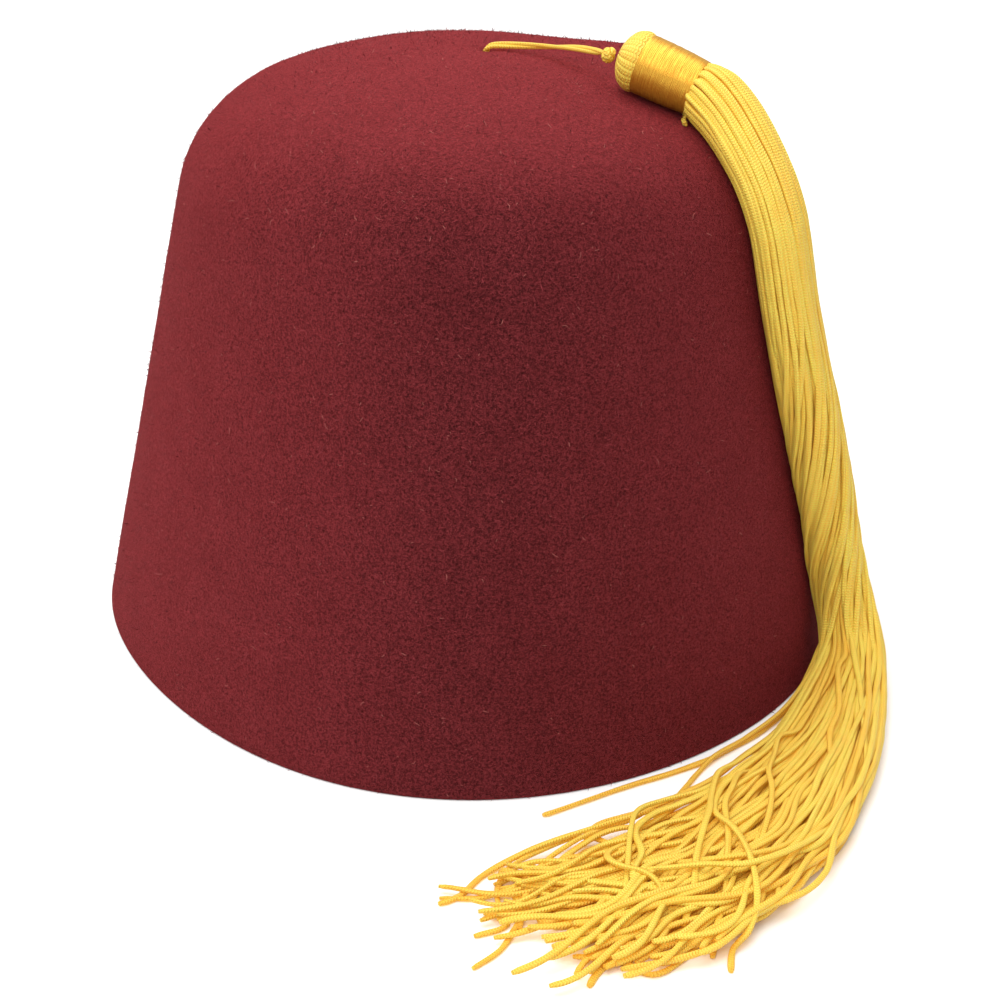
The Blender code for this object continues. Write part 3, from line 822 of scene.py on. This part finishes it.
def addCord():
    hole, _, end = cordEnds()
    beside = unit(np.cross(up, end - hole))
    span = np.linalg.norm(end - hole)
    rows = [hole - up * (felt["wall"] - head["gap"]), hole - up * 0.0006]
    for along, rise, aside in cord["route"]:
        rows.append(hole + (end - hole) * along + up * rise * span + beside * aside * span)
    rows.append(end + headWay * cord["intoKnot"])
    count = cord["points"]
    centre = evenly([curveThrough(rows, count)], [1], count)[0]
    share = np.linspace(0, 1, count)
    way = unit(np.gradient(centre, axis=0))
    sideWay = unit(np.cross(up, way) + 1e-9)
    upWay = np.cross(way, sideWay)
    apart = cord["apart"] * np.clip(np.minimum(share, 1 - share) * 14, 0.3, 1)
    turning = share * math.pi * cord["crossings"]
    offset = sideWay * (apart * np.cos(turning - 0.3))[:, None]
    offset = offset + upWay * (apart * 0.75 * np.sin(turning))[:, None]
    points = np.stack([centre + offset, centre - offset])
    flats = np.stack([upWay + sideWay * 0.3, upWay - sideWay * 0.25])
    halfWide = cord["halfWide"] * (1 + 0.06 * swings(2, share, [0.11, 0.05]))
    halfThick = np.full((2, count), cord["halfThick"])
    piece = addStrands("cordStrands", points, flats, halfWide, halfThick, np.array([0.8, 0.55]))
    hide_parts("hanging_cord")


def addKnot(name, node, place, axis, tube, size):
    # an overhand knot is a trefoil: one strand that passes three times through itself
    count = 120
    angle = np.linspace(0, math.tau, count)
    swing = 2 + np.cos(3 * angle)
    rise = np.sin(3 * angle) * 1.5
    shape = np.stack([swing * np.cos(2 * angle), swing * np.sin(2 * angle), rise], axis=1)
    first = unit(np.cross(axis, np.array([0.2, 0.3, 1.0])))
    second = np.cross(axis, first)
    points = place + (shape[:, :1] * first + shape[:, 1:2] * second + shape[:, 2:] * axis) * size / 3
    flats = points - place
    halfWide = np.full((1, count), tube)
    halfThick = np.full((1, count), tube * 0.8)
    piece = addStrands(name, points[None], flats[None], halfWide, halfThick, np.array([0.75]))
    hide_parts(node)


print("cord and knots")
addCord()
addKnot("cordKnotLoops", "cord_knot", cordEnds()[1], headWay, knot["tube"], knot["outer"])
innerPlace = up * sum(corner[2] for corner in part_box("inner_knot")) / 2
addKnot("innerKnotLoops", "inner_knot", innerPlace, up, knot["innerTube"], knot["innerOuter"])

# Tassel skirt. On the hat: run, turn, width, thickness and slack; on the surface: turn, reach, spread,
# height and slack, as in the model. The last row carries strands past the model's own end.
skirt = {
    "width": 0.0160,
    "thickness": 0.0113,
    "fanWidth": 0.0440,
    "fanThickness": 0.0090,
    "onTheHat": [
        (1.13, -27.0, 0.88, 1.17, 0.00), (1.28, -28.8, 0.94, 1.10, 0.00), (1.45, -30.3, 1.00, 1.02, 0.00),
        (1.63, -31.0, 1.00, 0.98, 0.00), (1.80, -31.2, 1.00, 0.96, 0.00), (1.97, -30.8, 1.00, 0.95, 0.00),
        (2.12, -29.3, 1.00, 0.96, 0.00), (2.26, -27.2, 1.00, 0.99, 0.00), (2.41, -24.6, 1.00, 1.05, 0.00),
        (2.56, -22.2, 0.98, 1.08, 0.00), (2.70, -20.2, 0.95, 1.07, 0.01), (2.81, -19.2, 0.92, 1.08, 0.04),
    ],
    "onTheSurface": [
        (-19.8, 1.087, 0.310, 1.50, 0.35), (-22.8, 1.106, 0.35, 1.34, 0.00), (-32.0, 1.139, 0.45, 1.10, 0.00),
        (-44.5, 1.216, 0.58, 1.00, 0.00), (-56.5, 1.310, 0.80, 0.94, 0.00), (-67.5, 1.392, 0.96, 0.80, 0.00),
        (-76.5, 1.452, 0.98, 0.70, 0.00), (-85.0, 1.482, 0.92, 0.55, 0.00), (-95.0, 1.500, 0.92, 0.50, 0.00),
    ],
    "edgeStrands": 32,
    "innerStrands": 160,
    "endsAt": -79.5,  # turn that a strand in the middle of the fan reaches
    "lengthSpread": 0.009,
    "tipSwerve": 0.010,  # how far a loose end turns aside at its tip
    "tipRipple": 0.0026,
    "points": 126,
    "bend": (8.8, 14.4),  # rows between which the bundle rolls over
    "roll": -200,
    "rounding": 14,
    "spacing": 0.00112,
    "fanSpacing": 0.00122,
    "edgeHalfWide": 0.00067,
    "halfWide": 0.00066,
    "halfThick": 0.00052,
    "fanHalfWide": 0.00066,
    "fanHalfThick": 0.00050,
}


def skirtStations():
    rows = []
    neck = wrap["diameter"] / 2 - wrap["wall"] - head["gap"]
    mouth = wrap["endDiameter"] / 2 - 0.0001
    rows.append((*(wrapEnd - headWay * 0.003), *headOut, neck, neck))
    rows.append((*(wrapEnd + headWay * head["gap"] * 2), *headOut, mouth, mouth))
    for run, turn, width, thick, slack in skirt["onTheHat"]:
        halfOut = thick * skirt["thickness"] / 2
        centre, normal = overFelt(run, turn, halfOut + head["lift"] + slack * skirt["thickness"])
        rows.append((*centre, *normal, halfOut, width * skirt["width"] / 2))
    for turn, reach, spread, height, slack in skirt["onTheSurface"]:
        turn = math.radians(turn)
        halfSide = height * skirt["fanThickness"] / 2
        centre = np.array([
            felt["rimWidth"] / 2 * reach * math.cos(turn),
            felt["rimDepth"] / 2 * reach * math.sin(turn),
            halfSide + head["gap"] + slack * skirt["fanThickness"],
        ])
        rows.append((*centre, *unit(centre * (1, 1, 0)), spread * skirt["fanWidth"] / 2, halfSide))
    return np.array(rows)


stations = skirtStations()
fineStep = 0.05
finePlaces = np.arange(0, len(stations) - 1 + fineStep / 2, fineStep)
fine = throughRows(stations, finePlaces)
fineCentre = fine[:, :3]
fineWay = unit(np.gradient(fineCentre, axis=0))
fineOut = unit(fine[:, 3:6] - fineWay * dots(fine[:, 3:6], fineWay))
fineSide = np.cross(fineOut, fineWay)
fineHalfOut = fine[:, 6]
fineHalfSide = fine[:, 7]
fineAlong = np.concatenate([[0], np.cumsum(np.linalg.norm(np.diff(fineCentre, axis=0), axis=1))])
firstFanRow = 2 + len(skirt["onTheHat"])


def smoothStep(low, high, values):
    share = np.clip((values - low) / (high - low), 0, 1)
    return share * share * (3 - 2 * share)


# Where a strand at (out, side) of the section goes; both are n strands by all fine places
def inTheSection(out, side):
    return (
        fineCentre[None]
        + fineOut[None] * (fineHalfOut[None] * out)[..., None]
        + fineSide[None] * (fineHalfSide[None] * side)[..., None]
    )


def skirtPaths():
    edge, inner = skirt["edgeStrands"], skirt["innerStrands"]
    order = np.arange(inner)
    radius = np.concatenate([np.full(edge, 0.93), 0.84 * np.sqrt((order + 0.5) / inner)])
    angle = np.concatenate([np.arange(edge) / edge * math.tau, order * 2.39996])
    count = edge + inner
    fan = smoothStep(firstFanRow - 2, firstFanRow + 3, finePlaces)
    angle = angle[:, None] + 0.14 * swings(count, fineAlong, [0.25, 0.16]) * (0.5 + fan)
    roll = math.radians(skirt["roll"]) * chance.uniform(0.85, 1.15, (count, 1))
    shift = chance.normal(0, 0.4, (count, 1))
    angle = angle + roll * smoothStep(*skirt["bend"], finePlaces[None] + shift)
    wander = swings(count, fineAlong, [0.14, 0.09]) * (0.04 + 0.06 * fan)
    radius = np.clip(radius[:, None] + wander, 0, 1.02)
    return inTheSection(np.cos(angle) * radius, np.sin(angle) * radius)


# Strands take the turn from the hat onto the surface in one long curve
def rounded(points, length):
    share = np.linspace(0, 1, points.shape[1]) * length
    low, high = (fineAlong[int((firstFanRow + rows) / fineStep)] for rows in (-3.4, 3.6))
    mask = smoothStep(low, low + 0.012, share) * (1 - smoothStep(high - 0.014, high, share))
    for _ in range(skirt["rounding"]):
        middle = (points[:, :-2] + points[:, 2:]) / 2
        points[:, 1:-1] += (middle - points[:, 1:-1]) * 0.5 * mask[None, 1:-1, None]
    return points


def skirtLength():
    turns = np.degrees(np.arctan2(fineCentre[:, 1] / felt["rimDepth"], fineCentre[:, 0] / felt["rimWidth"]))
    onFan = finePlaces > firstFanRow
    place = np.argmax(onFan & (turns < skirt["endsAt"]))
    return fineAlong[place]


# Strands that leave the bundle and lie over it or beside it, each through its own points (x, y, z in mm)
strays = {
    "leaving": 12,  # points of the strand that bend towards the first point
    "routes": [
        [(84, -36, 10), (81, -43, 7), (75, -56, 3), (70, -63, 1), (65, -70, 1), (57, -78, 1),
         (54, -81, 1), (46, -87, 1), (35, -94, 1), (21, -104, 1), (18, -106, 1)],
        [(82, -43, 8), (73, -60, 4), (63, -72, 2), (55, -81, 2), (51, -87, 1), (48, -93, 1),
         (44, -100, 1), (37, -104, 1), (30, -108, 1), (27, -112, 1)],
        [(54, -104, 7), (52, -114, 8), (55, -121, 9), (57, -128, 9), (58, -135, 8), (58, -142, 6),
         (56, -148, 4), (53, -151, 2), (52, -157, 1)],
        [(72, -114, 6), (66, -123, 7), (60, -128, 8), (53, -130, 8), (45, -130, 7), (38, -129, 6),
         (31, -133, 3)],
        [(55, -134, 5), (50, -143, 3), (47, -149, 1), (41, -157, 1), (37, -159, 1), (33, -156, 1),
         (30, -155, 1), (26, -158, 1)],
        [(54, -98, 8), (52, -107, 8), (51, -114, 9), (49, -122, 9), (47, -131, 8), (46, -139, 6),
         (44, -146, 3)],
        [(40, -112, 6), (36, -120, 7), (37, -128, 7), (35, -135, 7), (36, -140, 5), (35, -146, 4),
         (32, -152, 2), (28, -158, 1), (26, -163, 1)],
        [(34, -122, 5), (30, -128, 6), (32, -133, 7), (37, -135, 7), (40, -138, 6), (42, -144, 3)],
        [(30, -114, 4), (24, -121, 5), (17, -128, 3), (14, -138, 2), (13, -146, 1)],
        [(38, -122, 5), (29, -126, 5), (17, -131, 3), (9, -136, 2), (3, -137, 1), (-2, -137, 1)],
        [(38, -109, 4), (27, -116, 4), (16, -122, 3), (7, -128, 1), (2, -136, 1), (-2, -139, 1)],
        [(34, -114, 4), (27, -119, 4), (19, -129, 3), (13, -145, 1), (10, -153, 1), (5, -159, 1)],
        [(78, -108, 5), (68, -124, 8), (57, -133, 9), (48, -134, 9), (42, -134, 8), (36, -133, 6),
         (30, -138, 3)],
        [(88, -48, 12), (88, -62, 9), (87, -77, 8), (86, -88, 6), (83, -103, 4), (79, -112, 2),
         (73, -121, 1)],
        [(80, -104, 4), (72, -119, 2), (68, -127, 1), (64, -133, 1), (61, -137, 1)],
        [(58, -98, 8), (56, -105, 9), (54, -112, 9), (54, -122, 8), (53, -131, 7), (52, -139, 5),
         (50, -147, 3), (49, -153, 1)],
        [(68, -84, 9), (66, -92, 9), (64, -100, 10), (64, -106, 10), (63, -113, 9), (61, -120, 8),
         (58, -128, 5)],
        [(43, -106, 6), (37, -112, 7), (35, -121, 8), (34, -133, 6), (33, -141, 4), (32, -147, 2)],
        [(84, -56, 11), (82, -72, 10), (79, -81, 9), (78, -90, 8), (76, -98, 7), (73, -109, 5),
         (70, -118, 3)],
        [(26, -116, 3), (18, -121, 3), (11, -127, 2), (9, -136, 1), (11, -145, 1), (5, -149, 1)],
    ],
}


def rerouted(points):
    taken = []
    for route in strays["routes"]:
        route = np.array(route) / 1000
        distance = np.linalg.norm(points - route[0], axis=2)
        distance[taken] = 1
        strand, index = np.unravel_index(np.argmin(distance), distance.shape)
        taken.append(strand)
        leaving = max(index - strays["leaving"], 1)
        rows = np.concatenate([points[strand, leaving:index - 2:3], route])
        path = np.concatenate([points[strand, :leaving], curveThrough(rows, 200)])
        points[strand] = evenly([path], [1], points.shape[1])[0]
    return points, taken


def treeOf(places):
    tree = KDTree(len(places))
    for number, place in enumerate(places):
        tree.insert(place, number)
    tree.balance()
    return tree


# The fine place nearest to each point of a strand, how far it is onto the fan, and the bundle's size there
def nearestStation(points):
    tree = treeOf(fineCentre)
    station = np.array([tree.find(place)[1] for place in points.reshape(-1, 3)]).reshape(points.shape[:2])
    fan = smoothStep(firstFanRow - 2, firstFanRow + 2, finePlaces)[station]
    return station, fan, np.sqrt(fineHalfOut * fineHalfSide)[station]


settling = {
    "rounds": 12,
    "quickRounds": 3,
    "passes": 5,  # in each round, between two searches for neighbours
    "reach": 1.55,  # how far to look for neighbours, in spacings
    "beside": 0.0011,  # points further along than this aren't neighbours
    "push": 0.32,
    "longestMove": 0.00035,
    "evening": 0.22,
    "sinking": 0.00003,
    "lastEvening": 0.25,
    "lastPasses": 8,
}


# Strands push each other apart until they lie side by side, and stay outside the felt and the floor
def settle(points, rounds, thin, taken):
    strands, count = points.shape[:2]
    station, fan, room = nearestStation(points)
    spacing = skirt["spacing"] + (skirt["fanSpacing"] - skirt["spacing"]) * fan
    spacing = np.minimum(spacing, room * 2 / math.sqrt(strands) * 0.93)
    start = points.copy()
    owner = np.repeat(np.arange(strands), count)
    free = np.clip((np.arange(count) - 3) / 10, 0, 1)[None, :, None]
    bundled = np.ones((strands, 1, 1))
    bundled[taken] = 0
    weight = 0.4 + 0.6 * bundled
    for _ in range(rounds):
        flat = points.reshape(-1, 3)
        tree = treeOf(flat)
        reach = skirt["fanSpacing"] * settling["reach"]
        pairs = []
        for number, place in enumerate(flat):
            mine = owner[number]
            pairs += [(number, other) for _, other, _ in tree.find_range(place, reach)
                      if other > number and owner[other] != mine]
        pairs = np.array(pairs)
        way = unit(np.gradient(points, axis=1)).reshape(-1, 3)
        for _ in range(settling["passes"]):
            flat = points.reshape(-1, 3)
            between = flat[pairs[:, 1]] - flat[pairs[:, 0]]
            first, second = way[pairs[:, 0]], way[pairs[:, 1]]
            along = unit(first + second * np.sign(dots(first, second)))
            slip = dots(between, along)
            square = between - along * slip
            distance = np.linalg.norm(square, axis=1)
            wanted = (spacing.reshape(-1)[pairs[:, 0]] + spacing.reshape(-1)[pairs[:, 1]]) / 2
            push = np.clip(wanted - distance, 0, None) * (np.abs(slip[:, 0]) < settling["beside"])
            push = push * settling["push"]
            move = square / np.maximum(distance, 1e-5)[:, None] * push[:, None]
            total = np.zeros_like(flat)
            np.add.at(total, pairs[:, 0], -move)
            np.add.at(total, pairs[:, 1], move)
            size = np.linalg.norm(total, axis=1, keepdims=True)
            total *= np.minimum(1, settling["longestMove"] / np.maximum(size, 1e-9))
            points = points + total.reshape(points.shape) * free * weight
            points = start + evened(points - start, settling["evening"])
            points[..., 2] -= settling["sinking"] * fan * weight[..., 0]
            points = keptInPlace(points, station, thin, bundled)
    drift = points - start
    for _ in range(settling["lastPasses"]):
        drift = evened(drift, settling["lastEvening"])
    return keptInPlace(start + drift, station, thin, bundled)


# Each point's drift drawn towards its neighbours' along the strand
def evened(drift, share):
    drift[:, 1:-1] += share * (drift[:, :-2] + drift[:, 2:] - 2 * drift[:, 1:-1])
    return drift


def keptInPlace(points, station, thin, bundled):
    between = points - fineCentre[station]
    out, side = fineOut[station], fineSide[station]
    halfOut, halfSide = fineHalfOut[station][..., None], fineHalfSide[station][..., None]
    u = dots(between, out) / halfOut
    v = dots(between, side) / halfSide
    place = finePlaces[station][..., None]
    onHat = place < firstFanRow - 2.5
    inBend = smoothStep(firstFanRow - 3, firstFanRow - 2, place)
    inBend = inBend * (1 - smoothStep(firstFanRow + 0.5, firstFanRow + 2, place))
    # nothing sinks deeper than the side that lies against the felt, and nothing leaves the bundle
    low = -1 + thin / halfOut
    points = points + out * np.where(onHat, np.clip(low - u, 0, None), 0) * halfOut
    reach = np.sqrt(u * u + v * v)
    excess = np.clip(reach - np.where(onHat, 1.0, 1.03), 0, None) / np.maximum(reach, 1e-6)
    excess = excess * 0.6 * (1 - inBend) * np.maximum(bundled, onHat)
    points = points - (out * u * halfOut + side * v * halfSide) * excess
    points[..., 2] = np.maximum(points[..., 2], skirt["fanHalfThick"])
    return outsideTheFelt(points, thin + head["lift"])


# Points beside the wall move straight outwards until they are clear of it
def outsideTheFelt(points, clearance):
    height = np.clip(points[..., 2], 0, wallTop)
    halfWidth, halfDepth = wallLine(height)
    turn = np.arctan2(points[..., 1] / halfDepth, points[..., 0] / halfWidth)
    reach = np.hypot(points[..., 0] / halfWidth, points[..., 1] / halfDepth)
    wanted = wallSwell(turn, height) + clearance * 2 / (halfWidth + halfDepth)
    beside = (points[..., 2] < wallTop) & (reach < wanted)
    points = points.copy()
    points[..., :2] *= np.where(beside, wanted / np.maximum(reach, 1e-6), 1)[..., None]
    return points


def addSkirt():
    paths = skirtPaths()
    count = len(paths)
    length = skirtLength()
    lengths = length + chance.uniform(-1, 1, count) * skirt["lengthSpread"]
    points = evenly(paths, lengths, skirt["points"])
    points = rounded(points, length)
    # loose ends turn aside, each its own way
    share = np.linspace(0, 1, skirt["points"])
    tail = np.clip((share - 0.78) / 0.22, 0, 1) ** 2
    way = unit(np.gradient(points, axis=1))
    aside = unit(np.cross(way, up))
    swerve = tail[None] * chance.normal(0, skirt["tipSwerve"], (count, 1))
    loose = np.clip((share - 0.72) / 0.2, 0, 1)[None] * skirt["tipRipple"]
    swerve = swerve + loose * swings(count, share * length, [0.055, 0.03])
    points = points + aside * swerve[..., None]
    points, taken = rerouted(points)
    rounds = settling["rounds"]
    points = settle(points, rounds, skirt["fanHalfThick"], taken)
    points = refined(points)
    station, fan, room = nearestStation(points)
    tight = np.clip(room * 2 / math.sqrt(count) / skirt["spacing"], 0.5, 1)
    along = np.linspace(0, length, points.shape[1])
    girth = 1 + 0.07 * swings(count, along, [0.019, 0.008])
    girth *= chance.uniform(0.92, 1.1, (count, 1))
    edge = skirt["edgeStrands"]
    onHatWide = np.where(np.arange(count) < edge, skirt["edgeHalfWide"], skirt["halfWide"])[:, None]
    tight = np.where(np.arange(count)[:, None] < edge, np.maximum(tight, 1.0), np.maximum(tight, 0.85))
    halfWide = (onHatWide + (skirt["fanHalfWide"] - onHatWide) * fan) * girth * tight
    halfThick = (skirt["halfThick"] + (skirt["fanHalfThick"] - skirt["halfThick"]) * fan) * tight
    # cut ends are blunt
    ending = np.clip(points.shape[1] - 1 - np.arange(points.shape[1]), 0, 1)
    halfWide = halfWide * (0.72 + 0.28 * ending)
    halfThick = halfThick * (0.72 + 0.28 * ending)
    between = points - fineCentre[station]
    outWay = unit(between - fineWay[station] * dots(between, fineWay[station]))
    lean = np.stack([swings(count, along, [0.07, 0.04]) for _ in range(3)], axis=-1)
    upward = up * fan[..., None]
    flats = outWay * (1 - 0.7 * fan[..., None]) + upward + lean * 0.35
    # painted shade: the deeper a strand lies in the bundle, the warmer and darker its colour, for the shade
    # that the strands cast on each other
    u = dots(between, fineOut[station]) / fineHalfOut[station][..., None]
    v = dots(between, fineSide[station]) / fineHalfSide[station][..., None]
    depth = np.clip(np.hypot(u, v)[..., 0] * (1 - fan) + np.clip(0.75 - v[..., 0] * 0.45, 0, 1) * fan, 0, 1)
    sunlit = 0.25 + 0.75 * smoothStep(0.25, 0.85, depth)
    tones = np.clip(chance.normal(0.8, 0.16, (count, 1)) * sunlit, 0, 1)
    third = skirt["innerStrands"] // 3
    groups = [
        ("skirtOuter", 0, edge, 8), ("skirtInner", edge, edge + third, 6),
        ("skirtMiddle", edge + third, edge + third * 2, 6), ("skirtCore", edge + third * 2, count, 6),
    ]
    for name, first, last, sides in groups:
        part = slice(first, last)
        piece = addStrands(
            name, points[part], flats[part], halfWide[part], halfThick[part], tones[part], sides
        )
        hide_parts("tassel_skirt")


print("tassel skirt")
addSkirt()

print("finished")
